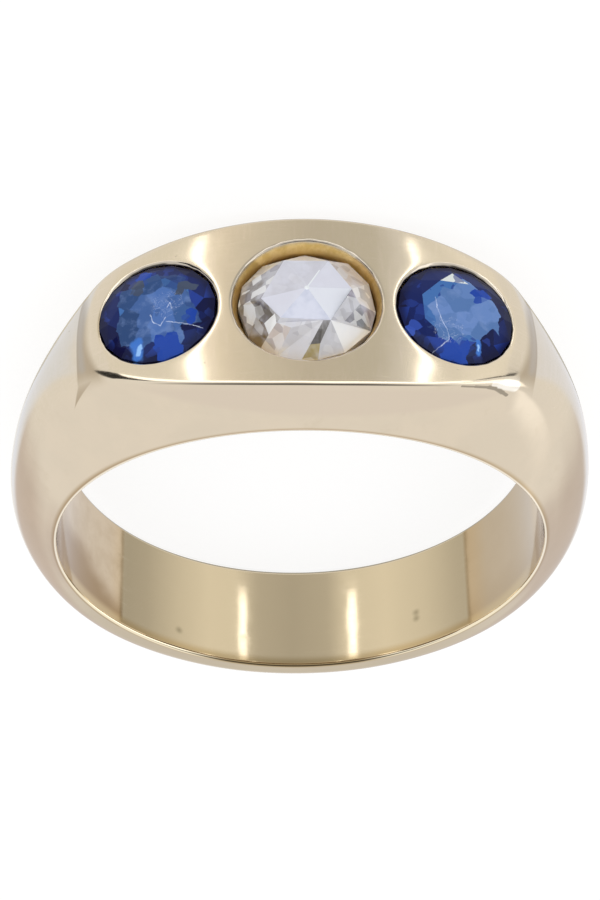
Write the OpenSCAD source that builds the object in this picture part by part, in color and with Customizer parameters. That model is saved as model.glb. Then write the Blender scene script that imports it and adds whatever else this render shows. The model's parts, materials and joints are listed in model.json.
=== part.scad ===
// Finger ring with three flush-set stones, lying on its side as it rests by itself.
// A round rose-cut diamond sits between two sapphires in a broad head, and the head
// runs through full shoulders into a narrower shank. Lengths are in millimetres.
//
// The ring is worked out with its finger hole along Z and the middle of the head
// towards -Y. The place of a section is the angle round the finger hole from the
// middle of the head. At the end the ring leans until it touches the floor with the
// inner rim under the head and with the rim at the back of the shank.

/* [Finger hole] */
// Radius of the finger hole
bore_r = 9.25; // [8.6:0.05:9.9]

/* [Head] */
// Wall of the head at its middle, from the finger hole to the top face
head_wall = 2.5; // [2.2:0.05:2.9]
// Radius of the arc that the top face follows from one shoulder to the other
arc_r = 20; // [18.5:0.5:23]
// Half width of the inner rim under the head
rim_head = 4; // [3.8:0.05:4.3]
// Depth over which the top face blends into the shoulders
blend = 0.4; // [0.2:0.05:0.5]

/* [Shank] */
// Half width of the inner rim at the back
rim_back = 2.3; // [2.1:0.05:2.6]

/* [Row of stones] */
// How far the middle stone sits to one side of the middle of the head
row_x = 0.08; // [-0.2:0.02:0.2]
// Distance from the middle stone to each sapphire, along the finger's width
sapphire_x = 5.35; // [5.1:0.05:5.6]

/* [Diamond] */
// Radius of the diamond's seat at the top face
diamond_seat_r = 2.65; // [2.4:0.05:2.8]
// How far the seat narrows on its way down to the girdle
diamond_taper = 0.18; // [0.05:0.01:0.25]
// Depth of the seat's floor below the top face
diamond_floor = 0.85; // [0.75:0.05:1]
// Depth of the top of the girdle below the top face
diamond_girdle = 0.6; // [0.45:0.05:0.65]
// Height of the point over the top face
diamond_apex = 0.75; // [0.6:0.05:1]
// Radius of the corners of the six star facets
star_r = 1.53; // [1.4:0.01:1.7]
// Slope of the star facets in degrees
star_slope = 13.5; // [10:0.5:18]

/* [Sapphires] */
// Radius of a sapphire's seat
sapphire_seat_r = 2.18; // [1.9:0.02:2.24]
// Depth of the top of the girdle below the top face
sapphire_girdle = 0.45; // [0.35:0.05:0.6]
// Height of the table over the top face
table_h = 0.06; // [0:0.02:0.2]
// Radius of the corners of the table
table_r = 1.4; // [1.2:0.05:1.6]
// Depth of the culet below the girdle
pavilion = 1.4; // [1:0.05:1.6]

/* [Fit] */
// Gap between a stone and its seat
stone_gap = 0.03; // [0.02:0.01:0.05]
// Height of the round band at a stone's girdle
girdle_h = 0.12; // [0.08:0.02:0.16]

/* [Hidden] */

// The body of the ring, a row for every 15 degrees from the head to the back. Each
// column is followed by a smooth curve that has the numbers as its control values.
// WALL is the wall over the finger hole at the crown, EDGE the half width at the edge
// between side and crown, SHARE the edge's height as a share of the wall, and ROUND
// the length over which the edge is rounded.
WALL = 0;
EDGE = 1;
SHARE = 2;
ROUND = 3;
sections = [
    [5.9, 3.8, 1, 0.12],
    [4.9, 3.6, 0.98, 0.12],
    [3.65, 3, 0.95, 0.1],
    [3.2, 1.5, 0.95, 0.8],
    [2.45, 1.5, 0.75, 0.7],
    [1.9, 1.75, 0.65, 0.95],
    [1.8, 1.85, 0.65, 0.9],
    [1.8, 1.9, 0.65, 0.8],
    [1.8, 2, 0.68, 0.7],
    [1.8, 2.05, 0.7, 0.6],
    [1.65, 2.1, 0.7, 0.55],
    [1.55, 2.15, 0.7, 0.5],
    [1.5, 2.15, 0.7, 0.5]
];
last = len(sections) - 1;
section_step = 180 / last;

// Angle between two sections of the finished surface
turn_step = 2.5;
// Points of the rounded edge, and of the crown from the edge to the middle
edge_points = 4;
crown_points = 6;
// How far the side is carried into the finger hole before the hole is cut
overcut = 0.6;
// Share of the side that a rounded edge may take up
round_limit = 0.8;
// Angle round the finger hole past which there is no top face
arc_end = 80;
// Length that is surely longer than the ring is wide
beyond = 30;
fine = 128;

head_r = bore_r + head_wall;
arc_centre = arc_r - head_r;
diamond_r = diamond_seat_r - diamond_taper - stone_gap;
sapphire_r = sapphire_seat_r - stone_gap;
lean = atan((rim_head - rim_back) / (2 * bore_r));
lift = rim_head * cos(lean) - bore_r * sin(lean);

// Control value of a column, mirrored at the head and at the back
function control(column, i) = sections[i < 0 ? -i : i > last ? 2 * last - i : i][column];

// Uniform cubic spline through a column at the angle a
function along(column, a) =
    let (t = a / section_step, i = min(floor(t), last - 1), u = t - i)
    (pow(1 - u, 3) * control(column, i - 1)
        + (3 * pow(u, 3) - 6 * pow(u, 2) + 4) * control(column, i)
        + (3 * u + 3 * pow(u, 2) - 3 * pow(u, 3) + 1) * control(column, i + 1)
        + pow(u, 3) * control(column, i + 2)) / 6;

// The smaller of two values, rounded off where they come within the blend
function soft_min(p, q) =
    let (h = max(blend - abs(p - q), 0) / blend)
    min(p, q) - h * h * blend / 4;

// Distance of the crown from the middle of the finger hole: the arc of the top face
// near the head, and the body elsewhere
function crown_r(a) =
    let (body = bore_r + along(WALL, a))
    a > arc_end ? body : soft_min(body,
        sqrt(pow(arc_r, 2) - pow(arc_centre * sin(a), 2)) - arc_centre * cos(a));

// Half width of the inner rim
function rim(a) = rim_back + (rim_head - rim_back) * pow(cos(a / 2), 4);

// Point of a quadratic curve from p to q that is drawn towards c
function bend(p, c, q, u) = pow(1 - u, 2) * p + 2 * u * (1 - u) * c + pow(u, 2) * q;

// Half a section as [radius, half width], from inside the finger hole over the
// straight side, the rounded edge and the crown, which falls from its middle as the
// square of the width
function half_section(a) =
    let (
        r = crown_r(a),
        w = along(EDGE, a),
        edge = [bore_r + min(along(SHARE, a), 1) * (r - bore_r), w],
        inner = [bore_r, rim(a)],
        side = (inner - edge) / norm(inner - edge),
        rounding = min(along(ROUND, a), round_limit * norm(inner - edge)),
        fall = r - edge[0],
        top_w = w - rounding,
        top = [r - fall * pow(top_w / w, 2), top_w],
        slope = -2 * fall * top_w / pow(w, 2),
        reach = (top[0] - edge[0] + slope * rounding) / (side[0] - slope * side[1]),
        corner = edge + reach * side,
        start = edge + rounding * side
    )
    concat(
        [inner - side * overcut / side[0]],
        [for (i = [0:edge_points - 1]) bend(start, corner, top, i / (edge_points - 1))],
        [for (i = [1:crown_points])
            let (y = top_w * (1 - i / crown_points)) [r - fall * pow(y / w, 2), y]]
    );

// A whole section in space, from the lower side over the crown to the upper side
function whole_section(turn) =
    let (
        half = half_section(turn > 180 ? 360 - turn : turn),
        n = len(half) - 1
    )
    [for (i = [0:2 * n])
        let (q = half[i > n ? 2 * n - i : i])
        [q[0] * sin(turn), -q[0] * cos(turn), i > n ? q[1] : -q[1]]];

body_sections = [for (turn = [0:turn_step:360 - turn_step]) whole_section(turn)];
body_points = [for (s = body_sections) each s];

// Distance along Y of a point once the ring leans
function leaning_y(q) = q[1] * cos(lean) + q[2] * sin(lean);
leaning = [for (q = body_points) leaning_y(q)];
apex_y = arc_centre - (arc_r + diamond_apex) * cos(asin(row_x / arc_r));
mid_y = (leaning_y([0, apex_y, 0]) + max(leaning)) / 2;

// Lays a thing that is worked out round the finger hole on the floor
module lying() {
    translate([0, -mid_y, lift]) rotate([-lean, 0, 0]) children();
}

// Puts the origin on the top face at the distance x from its middle, with Z outwards
module on_head(x) {
    translate([0, arc_centre, 0]) rotate([90, 0, asin(x / arc_r)]) translate([0, 0, arc_r]) children();
}

// The ring without its hole and seats, one skin through all the sections
module blank() {
    rows = len(body_sections);
    n = len(body_sections[0]);
    faces = [for (i = [0:rows - 1]) for (j = [0:n - 1])
        let (
            a = i * n + j,
            b = i * n + (j + 1) % n,
            c = (i + 1) % rows * n + (j + 1) % n,
            d = (i + 1) % rows * n + j
        )
        each [[a, b, c], [a, c, d]]];
    polyhedron(points = body_points, faces = faces, convexity = 10);
}

// Blind seat with a flat floor: a wall that stands upright round the girdle, and
// leans outwards from there to where the top face is lowest at the seat's rim
module diamond_seat() {
    waist_r = diamond_seat_r - diamond_taper;
    rim_depth = arc_r - sqrt(pow(arc_r, 2) - pow(diamond_seat_r, 2));
    translate([0, 0, -diamond_floor]) cylinder(r = waist_r, h = diamond_floor, $fn = fine);
    translate([0, 0, -diamond_girdle])
        cylinder(r1 = waist_r, r2 = diamond_seat_r, h = diamond_girdle - rim_depth, $fn = fine);
    translate([0, 0, -rim_depth]) cylinder(r = diamond_seat_r, h = beyond, $fn = fine);
}

// Blind seat with a cone under the girdle
module sapphire_seat() {
    ledge = sapphire_girdle + girdle_h;
    translate([0, 0, -ledge]) cylinder(r = sapphire_seat_r, h = beyond, $fn = fine);
    translate([0, 0, -ledge - pavilion - stone_gap])
        cylinder(r1 = stone_gap, r2 = sapphire_seat_r, h = pavilion + stone_gap, $fn = fine);
}

module band() {
    color("burlywood") lying() difference() {
        blank();
        cylinder(r = bore_r, h = beyond, center = true, $fn = fine);
        on_head(row_x) diamond_seat();
        on_head(row_x - sapphire_x) sapphire_seat();
        on_head(row_x + sapphire_x) sapphire_seat();
    }
}

// Corner points of one row of a stone: n points from the angle first
function corners(r, z, n, first) =
    [for (i = [0:n - 1]) [r * cos(first + i * 360 / n), r * sin(first + i * 360 / n), z]];

// The diamond: six star facets round the point, six triangles under their sides and
// twelve more to the girdle, over a flat back
module rose() {
    star_z = diamond_apex - star_r * cos(30) * tan(star_slope);
    // The facets are carried past the girdle, so that the round band trims them
    outer = 1.08;
    fall = (star_z + diamond_girdle) * (outer * diamond_r - star_r) / (diamond_r - star_r);
    back_z = stone_gap - diamond_floor;
    points = concat(
        [[0, 0, diamond_apex]],
        corners(star_r, star_z, 6, 0),
        corners(outer * diamond_r, star_z - fall, 12, 0),
        corners(outer * diamond_r, -2 * diamond_floor, 12, 0)
    );
    star = 1;
    edge = star + 6;
    foot = edge + 12;
    faces = concat(
        [for (i = [0:5]) [0, star + (i + 1) % 6, star + i]],
        [for (i = [0:5]) [star + i, star + (i + 1) % 6, edge + 2 * i + 1]],
        [for (i = [0:5]) [star + i, edge + 2 * i + 1, edge + 2 * i]],
        [for (i = [0:5]) [star + i, edge + 2 * i, edge + (2 * i + 11) % 12]],
        [for (i = [0:11]) [edge + i, edge + (i + 1) % 12, foot + (i + 1) % 12, foot + i]],
        [[for (i = [0:11]) foot + i]]
    );
    intersection() {
        polyhedron(points = points, faces = faces);
        translate([0, 0, back_z]) cylinder(r = diamond_r, h = beyond, $fn = fine);
    }
}

module diamond() {
    color("ghostwhite") lying() on_head(row_x) rose();
}

// A sapphire: an eight-sided table, eight star facets, eight kites and sixteen
// triangles down to the round girdle, over a plain cone
module sapphire() {
    outer = 1.08 * sapphire_r;
    side = 22.5;
    fall = (table_h + sapphire_girdle) * (outer - table_r) / (sapphire_r - table_r);
    outer_z = table_h - fall;
    mid_r = (table_r + sapphire_r) / 2;
    mid_z = table_h - (mid_r * cos(side) - table_r) * fall / (outer - table_r);
    points = concat(
        corners(table_r, table_h, 8, side),
        corners(mid_r, mid_z, 8, 0),
        corners(outer, outer_z, 16, 0),
        corners(outer, outer_z - beyond, 16, 0)
    );
    mid = 8;
    edge = 16;
    foot = 32;
    faces = concat(
        [[for (i = [7:-1:0]) i]],
        [for (i = [0:7]) [i, mid + i, (i + 7) % 8]],
        [for (i = [0:7]) [i, mid + (i + 1) % 8, edge + 2 * i + 1, mid + i]],
        [for (i = [0:7]) [mid + i, edge + 2 * i + 1, edge + 2 * i]],
        [for (i = [0:7]) [mid + i, edge + 2 * i, edge + (2 * i + 15) % 16]],
        [for (i = [0:15]) [edge + i, edge + (i + 1) % 16, foot + (i + 1) % 16, foot + i]],
        [[for (i = [0:15]) foot + i]]
    );
    intersection() {
        polyhedron(points = points, faces = faces);
        union() {
            translate([0, 0, -sapphire_girdle - girdle_h])
                cylinder(r = sapphire_r, h = beyond, $fn = fine);
            translate([0, 0, -sapphire_girdle - girdle_h - pavilion])
                cylinder(r1 = 0, r2 = sapphire_r, h = pavilion, $fn = fine);
        }
    }
}

module sapphire_left() {
    color("mediumblue") lying() on_head(row_x - sapphire_x) sapphire();
}

module sapphire_right() {
    color("mediumblue") lying() on_head(row_x + sapphire_x) sapphire();
}

band();
diamond();
sapphire_left();
sapphire_right();
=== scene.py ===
"""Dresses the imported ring: a polished pale gold band with a rose-cut diamond between two sapphires.

It lies on its side on a white table.
"""

import json
import math

import bpy
import numpy as np
from mathutils import Matrix


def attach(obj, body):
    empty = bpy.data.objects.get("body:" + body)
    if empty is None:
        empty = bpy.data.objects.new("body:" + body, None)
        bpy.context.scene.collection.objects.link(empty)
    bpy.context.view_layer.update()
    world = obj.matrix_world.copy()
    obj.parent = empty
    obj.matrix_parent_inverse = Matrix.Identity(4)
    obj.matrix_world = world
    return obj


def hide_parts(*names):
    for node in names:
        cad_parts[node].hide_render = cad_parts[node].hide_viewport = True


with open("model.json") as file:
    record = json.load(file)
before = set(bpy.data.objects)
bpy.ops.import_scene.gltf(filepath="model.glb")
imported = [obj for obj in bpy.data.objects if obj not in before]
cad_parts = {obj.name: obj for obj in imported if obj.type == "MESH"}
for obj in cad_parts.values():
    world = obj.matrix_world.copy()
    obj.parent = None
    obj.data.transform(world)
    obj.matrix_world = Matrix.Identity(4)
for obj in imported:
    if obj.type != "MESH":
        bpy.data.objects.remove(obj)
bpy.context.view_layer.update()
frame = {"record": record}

MM = 0.001

# The ring is worked out in millimetres round the middle of its finger hole: the hole
# runs along Z and the middle of the head is towards -Y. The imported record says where
# that middle is on the table and how the hole leans.
hole = next(m for m in frame["record"]["mounts"] if m["name"] == "finger_hole")
HOLE_MIDDLE = np.array(hole["pos_m"])
BORE_R = hole["dims"]["r_mm"]
LEAN = math.atan2(hole["axis"][1], hole["axis"][2])

# Head and shank
HEAD_WALL = 2.5
ARC_R = 20.0
RIM_HEAD = 4.0
RIM_BACK = 2.3
BLEND = 0.4
HEAD_R = BORE_R + HEAD_WALL
ARC_CENTRE = ARC_R - HEAD_R
ARC_END = math.radians(80)
RIM_ROUND = 0.14

# The ring's body, a row for every 15 degrees from the head to the back: the wall over
# the finger hole at the crown, the half width at the edge between side and crown, the
# edge's height as a share of the wall, and the length over which it is rounded. A
# smooth curve follows each column.
WALL, EDGE, SHARE, ROUND = range(4)
SECTIONS = np.array([
    [5.90, 3.80, 1.00, 0.12],
    [4.90, 3.60, 0.98, 0.12],
    [3.65, 3.00, 0.95, 0.10],
    [3.20, 1.50, 0.95, 0.80],
    [2.45, 1.50, 0.75, 0.70],
    [1.90, 1.75, 0.65, 0.95],
    [1.80, 1.85, 0.65, 0.90],
    [1.80, 1.90, 0.65, 0.80],
    [1.80, 2.00, 0.68, 0.70],
    [1.80, 2.05, 0.70, 0.60],
    [1.65, 2.10, 0.70, 0.55],
    [1.55, 2.15, 0.70, 0.50],
    [1.50, 2.15, 0.70, 0.50],
])

# Stones: the row's place on the head, then each stone's seat and cut
ROW_X = 0.08
SAPPHIRE_X = 5.35
DIAMOND_SEAT_R = 2.65
DIAMOND_FOOT_R = 2.47
DIAMOND_FLOOR = 0.85
DIAMOND_GIRDLE = 0.60
DIAMOND_APEX = 0.75
SAPPHIRE_SEAT_R = 2.18
SAPPHIRE_GIRDLE = 0.45
SAPPHIRE_CROWN = 0.20
TABLE_H = 0.06
TABLE_R = 1.40
PAVILION = 1.4
STONE_GAP = 0.03
GIRDLE_H = 0.12


def smooth_column(column, turn):
    """Uniform cubic B-spline along a column of the table, mirrored at the head and at the back."""
    last = len(SECTIONS) - 1
    values = SECTIONS[:, column]
    values = np.concatenate([values[1:2], values, values[-2:-1]])
    t = np.abs(turn) / (math.pi / last)
    i = np.minimum(np.floor(t).astype(int), last - 1)
    u = t - i
    weights = (
        (1 - u) ** 3,
        3 * u**3 - 6 * u**2 + 4,
        1 + 3 * u + 3 * u**2 - 3 * u**3,
        u**3,
    )
    return sum(w * values[i + k] for k, w in enumerate(weights)) / 6


def crown_r(turn):
    """Distance of the crown from the middle of the hole: the lesser of the top face's arc and the body.

    Where the two come within BLEND of each other, the square of their closeness takes
    off up to a quarter of BLEND, which leaves a soft crease.
    """
    body = BORE_R + smooth_column(WALL, turn)
    arc = np.sqrt(ARC_R**2 - (ARC_CENTRE * np.sin(turn)) ** 2) - ARC_CENTRE * np.cos(turn)
    arc = np.where(np.abs(turn) > ARC_END, body + 1, arc)
    h = np.maximum(BLEND - np.abs(arc - body), 0) / BLEND
    return np.minimum(arc, body) - h * h * BLEND / 4


def crown_fall(turn, z):
    """How far the crown has fallen from its middle at the height z: as the square of z."""
    share = np.minimum(smooth_column(SHARE, turn), 1)
    return (1 - share) * (crown_r(turn) - BORE_R) * (z / smooth_column(EDGE, turn)) ** 2


def rim_half_width(turn):
    """Half width of the inner rim: it falls as the fourth power of the cosine of half the turn."""
    return RIM_BACK + (RIM_HEAD - RIM_BACK) * np.cos(turn / 2) ** 4


def bend(p, c, q, u):
    """Quadratic curve from p to q, drawn towards c."""
    return (1 - u) ** 2 * p + 2 * u * (1 - u) * c + u**2 * q


def smooth_step(t):
    """Rises from 0 to 1 as the cubic 3t^2 - 2t^3, level at both ends."""
    t = np.clip(t, 0, 1)
    return t * t * (3 - 2 * t)


def leaning(directions):
    """Directions in the ring to directions on the table: a turn about X by the lean."""
    x, y, z = directions[..., 0], directions[..., 1], directions[..., 2]
    c, s = math.cos(LEAN), math.sin(LEAN)
    return np.stack([x, y * c + z * s, z * c - y * s], axis=-1)


def laid(points):
    """Millimetres round the middle of the hole to metres on the table."""
    return leaning(points) * MM + HOLE_MIDDLE


def make_piece(name, verts, faces, smooth=True):
    """A mesh object at the origin from rows of points in metres and arrays of corners."""
    mesh = bpy.data.meshes.new(name)
    mesh.from_pydata(verts.tolist(), [], [f for part in faces for f in part.tolist()])
    mesh.polygons.foreach_set("use_smooth", np.full(len(mesh.polygons), smooth))
    mesh.update()
    piece = bpy.data.objects.new(name, mesh)
    bpy.context.scene.collection.objects.link(piece)
    return piece


def grid_faces(rows, cols):
    """Corners of the quads of a grid of points kept row by row."""
    i, j = np.meshgrid(np.arange(rows - 1), np.arange(cols - 1), indexing="ij")
    a = i * cols + j
    return np.stack([a, a + 1, a + cols + 1, a + cols], axis=-1).reshape(-1, 4)


# Grid of the band: rows round the hole, with a window for each seat over a share of the
# crown's width, and columns round the section, counted from the middle of the hole's
# wall to the middle of the crown
WINDOW = (math.radians(14.2), math.radians(38.4))
WINDOW_ROWS = (60, 52)
OTHER_ROWS = 500
WINDOW_SHARE = 0.85
BORE_COLS, RIM_COLS, SIDE_COLS, ROUND_COLS, MARGIN_COLS, FACE_COLS = 10, 5, 8, 8, 4, 20
RIM_AT = BORE_COLS
SIDE_AT = RIM_AT + RIM_COLS
ROUND_AT = SIDE_AT + SIDE_COLS
CROWN_AT = ROUND_AT + ROUND_COLS
WINDOW_AT = CROWN_AT + MARGIN_COLS
MIDDLE = WINDOW_AT + FACE_COLS
WINDOW_TO = MIDDLE + FACE_COLS


def ring_turns():
    """Angles of the rows, finer over the three seats, and the row numbers where the three windows end."""
    near, far = WINDOW
    middle, outer = WINDOW_ROWS
    turns = np.concatenate([
        np.linspace(-far, -near, outer, endpoint=False),
        np.linspace(-near, near, middle, endpoint=False),
        np.linspace(near, far, outer, endpoint=False),
        np.linspace(far, 2 * math.pi - far, OTHER_ROWS, endpoint=False),
    ])
    return (turns + math.pi) % (2 * math.pi) - math.pi, (0, outer, outer + middle, 2 * outer + middle)


def band_sections(turn):
    """Half sections as rows of (radius, half width): bore, rounded rim, side, rounded edge and crown.

    The crown falls from its middle as the square of the width, and both roundings are
    quadratic curves that leave their neighbours along the same tangent.
    """
    r, w = crown_r(turn), smooth_column(EDGE, turn)
    share = np.minimum(smooth_column(SHARE, turn), 1)
    edge = np.stack([BORE_R + share * (r - BORE_R), w], axis=-1)
    inner = np.stack([np.full_like(r, BORE_R), rim_half_width(turn)], axis=-1)
    length = np.linalg.norm(inner - edge, axis=-1)
    side = (inner - edge) / length[:, None]
    rounding = np.minimum(smooth_column(ROUND, turn), 0.8 * length)
    fall = r - edge[:, 0]
    top_w = w - rounding
    top = np.stack([r - fall * (top_w / w) ** 2, top_w], axis=-1)
    slope = -2 * fall * top_w / w**2
    reach = (top[:, 0] - edge[:, 0] + slope * rounding) / (side[:, 0] - slope * side[:, 1])
    corner = edge + reach[:, None] * side
    start = edge + rounding[:, None] * side

    def line(p, q, n, closer=1):
        u = 1 - (1 - np.linspace(0, 1, n, endpoint=False)[None, :, None]) ** closer
        return p[:, None] * (1 - u) + q[:, None] * u

    def curve(p, c, q, n):
        u = np.linspace(0, 1, n, endpoint=False)[None, :, None]
        return bend(p[:, None], c[:, None], q[:, None], u)

    bore_mid = inner * [1, 0]
    bore_end = inner - [0, RIM_ROUND]
    side_end = inner - side * RIM_ROUND
    cols = np.concatenate([
        np.linspace(1, WINDOW_SHARE, MARGIN_COLS, endpoint=False),
        np.linspace(WINDOW_SHARE, 0, FACE_COLS + 1),
    ])
    y = top_w[:, None] * cols
    crown = np.stack([r[:, None] - fall[:, None] * (y / w[:, None]) ** 2, y], axis=-1)
    return np.concatenate([
        line(bore_mid, bore_end, BORE_COLS, closer=2),
        curve(bore_end, inner, side_end, RIM_COLS),
        line(side_end, start, SIDE_COLS),
        curve(start, corner, top, ROUND_COLS),
        crown,
    ], axis=1)


def in_space(turns, radius, z):
    """Cylinder coordinates to points, with the turn counted from the head."""
    return np.stack([radius * np.sin(turns), -radius * np.cos(turns), z + 0 * radius * turns], axis=-1)


def on_head(x, points):
    """Points given from the top face at x, with their third number outwards, to points of the ring."""
    a = math.asin(x / ARC_R)
    u, up, out = points[..., 0], points[..., 1], ARC_R + points[..., 2]
    return np.stack([
        u * math.cos(a) + out * math.sin(a),
        ARC_CENTRE + u * math.sin(a) - out * math.cos(a),
        up,
    ], axis=-1)


def circle(r, depth, along):
    """Points of a circle of radius r at a depth below the top face's own plane."""
    return np.stack([r * np.cos(along), r * np.sin(along), np.full_like(along, -depth)], axis=-1)


def seat_circle(x, r, along):
    """Where a cutter of radius r, upright on the top face at x, meets that face: (turn, height)."""
    arc = math.asin(x / ARC_R) + np.arcsin(r * np.cos(along) / ARC_R)
    turn = np.arctan2(ARC_R * np.sin(arc), ARC_R * np.cos(arc) - ARC_CENTRE)
    return turn, r * np.sin(along)


# The lip rubbed over each stone: its width, the steps from its outer rim inwards as
# (share of the width, depth), and how unevenly a hand has rubbed it
LIP = 0.13
LIP_STEPS = (
    (0.10, 0.001), (0.20, 0.004), (0.48, 0.016), (0.62, 0.027),
    (0.80, 0.050), (0.93, 0.075), (1.0, 0.110),
)
LIP_WAVE = 0.12
# The seats' walls, as (radius, depth) of their steps down to the floor, and their dips in
# the face, as (depth, width)
SAPPHIRE_WALL = ((2.16, 0.5), (0.3, 2.0))
DIAMOND_WALL = ((DIAMOND_FOOT_R, 0.62), (DIAMOND_FOOT_R, DIAMOND_FLOOR))
SAPPHIRE_DISH = (0.052, 0.10)
DIAMOND_DISH = (0.012, 0.055)
SEATS = (
    (ROW_X - SAPPHIRE_X, SAPPHIRE_SEAT_R, SAPPHIRE_WALL, SAPPHIRE_DISH),
    (ROW_X, DIAMOND_SEAT_R, DIAMOND_WALL, DIAMOND_DISH),
    (ROW_X + SAPPHIRE_X, SAPPHIRE_SEAT_R, SAPPHIRE_WALL, SAPPHIRE_DISH),
)

# The pad's rolled ends: the distance from a sapphire's middle where the roll begins and
# ends, its depth, the length over which it comes back, that over which it sets in, and
# how much z counts in the distance at three corners and at the less round one
PAD_END = (2.58, 3.11)
PAD_FALL = 0.05
PAD_FADE = 1.3
PAD_BEGIN = 1.2
PAD_Z, PAD_Z_SHARP = 0.65, 0.4
# How unevenly the face is polished, and how far it stays under the solid
WAVE = 0.0015
SKIN = 0.004


def face_arc(turn):
    """Length along the top face from its middle."""
    return ARC_R * np.arcsin(crown_r(turn) * np.sin(turn) / ARC_R)


def pad_roll(turn, z):
    """How far the surface lies below its plain shape where the pad rolls down at its round ends.

    It grows as the square of the distance past the roll's beginning, and past the
    roll's end it comes back up as an exponential over the shoulder. The corner on the
    picture's left near the viewer is less round than the other three.
    """
    out = np.maximum(np.abs(face_arc(turn)) - ARC_R * math.asin(SAPPHIRE_X / ARC_R), 0)
    d = np.hypot(out, np.where((z > 0) & (turn > 0), PAD_Z_SHARP, PAD_Z) * z)
    begin, end = PAD_END
    roll = np.clip((d - begin) / (end - begin), 0, 1) ** 2
    return np.where(d < end, roll, np.exp((end - d) / PAD_FADE)) * smooth_step(out / PAD_BEGIN)


def relief(turn, z):
    """How far the polished face lies below its plain shape.

    It dips towards each seat as an exponential of the distance to the seat's rim, and
    rolls down past the sapphires. A sum of sines leaves it as wavy as a hand leaves it.
    """
    arc = face_arc(turn)
    waves = np.sin(1.9 * arc + 0.8 * z), np.sin(1.3 * z - 2.3 * arc + 1), np.sin(3.1 * arc + 2.2 * z + 2)
    fall = WAVE * (len(waves) + sum(waves)) + PAD_FALL * pad_roll(turn, z)
    for x, r, _, (depth, width) in SEATS:
        along = arc - ARC_R * math.asin(x / ARC_R)
        fall = fall + depth * np.exp(-np.abs(np.hypot(along, z) - r) / width)
    return fall


def face_points(turn, z):
    """Points of the polished face: the crown, less its fall, its relief and the skin left under the solid."""
    return in_space(turn, crown_r(turn) - crown_fall(turn, z) - relief(turn, z) - SKIN, z)


# The relief ends at this turn from the head and fades over the last part of it; edges
# rounder than CRISP carry less of the painted edge highlight and shade
RELIEF_END, RELIEF_FADE = math.radians(85), math.radians(15)
CRISP = 0.2
# Rings of points round a seat: from the grid to its lip, closer together near it, then
# the lip's own, and in each step of its wall
PATCH_RINGS = 16
PATCH_CLOSER = 1.6
WALL_AT = PATCH_RINGS + len(LIP_STEPS)
WALL_RINGS = 6


def both_sides(half):
    """Half a section's columns, on the far side, with the near side's behind them in mirror order."""
    return np.concatenate([half, half[..., -2:0:-1]], axis=-1)


def hump(n):
    """n shares that rise and fall as the square of a sine."""
    return np.sin(np.arange(n) / n * math.pi) ** 2


def crown_share():
    """1 on the columns of the crown, rising from 0 over those of the rounded edge."""
    share = np.zeros(MIDDLE + 1)
    share[ROUND_AT:CROWN_AT] = smooth_step(np.arange(ROUND_COLS) / ROUND_COLS)
    share[CROWN_AT:] = 1
    return both_sides(share)


def grid_shares(turns):
    """Shares of the finishes over the grid: rounded edges with painted highlight and shade, satin face, front
    wall and the hole's rims.
    """
    blank = np.zeros((len(turns), MIDDLE + 1))
    edge_highlight_and_shade, rim, side = blank.copy(), blank.copy(), blank.copy()
    crisp = np.minimum(CRISP / smooth_column(ROUND, turns), 1) ** 2
    edge_highlight_and_shade[:, RIM_AT:SIDE_AT] = hump(RIM_COLS)
    edge_highlight_and_shade[:, ROUND_AT:CROWN_AT] = hump(ROUND_COLS) * crisp[:, None]
    rim[:, RIM_AT + 1:SIDE_AT] = 1
    side[:, SIDE_AT:ROUND_AT] = 1
    fade = smooth_step((RELIEF_END - np.abs(turns)) / RELIEF_FADE)
    return {
        "edge_highlight_and_shade": both_sides(edge_highlight_and_shade),
        "seat": both_sides(blank),
        "deep": both_sides(blank),
        "satin": crown_share() * fade[:, None],
        "wall": np.concatenate([blank, side[:, -2:0:-1]], axis=1),
        "rim": both_sides(rim),
    }


def ring_shares(count):
    """Shares of the finishes over the rings round a seat, each with the one at the floor's middle.

    The lip's painted highlight and shade are strongest four rings before its wall.
    """
    level = np.arange(count) - WALL_AT
    blank = np.zeros(count)
    return {
        "edge_highlight_and_shade": (np.exp(-(((level + 4) / 3) ** 2)), 0),
        "seat": (np.clip(level + 3, 0, 3) / 3, 1),
        "deep": (np.clip(level / WALL_RINGS, 0, 1), 1),
        "satin": (np.clip(-level - 5, 0, 3) / 3, 0),
        "wall": (blank, 0),
        "rim": (blank, 0),
    }


def seat_rings(k, turn, z):
    """Rings of points from the grid's border over the lip and down seat k's wall, and its floor's middle.

    On the face they run straight from the border to the lip. The lip sinks by its
    steps, deeper and less deep as two sines of the angle round the stone. The wall runs
    straight between its own steps, and the last ring lies halfway in over the floor.
    """
    x, r, steps, _ = SEATS[k]
    along = np.arctan2(z, face_arc(turn) - ARC_R * math.asin(x / ARC_R))
    lip_turn, lip_z = seat_circle(x, r + LIP, along)
    way = 1 - (1 - np.linspace(0, 1, PATCH_RINGS + 1)[1:]) ** PATCH_CLOSER
    rings = [face_points(turn + (lip_turn - turn) * s, z + (lip_z - z) * s) for s in way]
    outer, inner = rings[-1], face_points(*seat_circle(x, r, along))
    down = on_head(x, circle(r, 1, along)) - on_head(x, circle(r, 0, along))
    uneven = 1 + LIP_WAVE * (np.sin(19 * along + k) + np.sin(31 * along + 2 * k))[:, None]
    rings += [outer + (inner - outer) * share + down * depth * uneven for share, depth in LIP_STEPS]
    wall = rings[-1]
    for wall_r, depth in steps:
        goal = on_head(x, circle(wall_r, depth, along))
        rings += [wall + (goal - wall) * u for u in np.linspace(0, 1, WALL_RINGS + 1)[1:]]
        wall = goal
    middle = on_head(x, np.array([[0, 0, -steps[-1][1]]]))
    return rings + [wall + (middle - wall) * 0.5], middle


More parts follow.
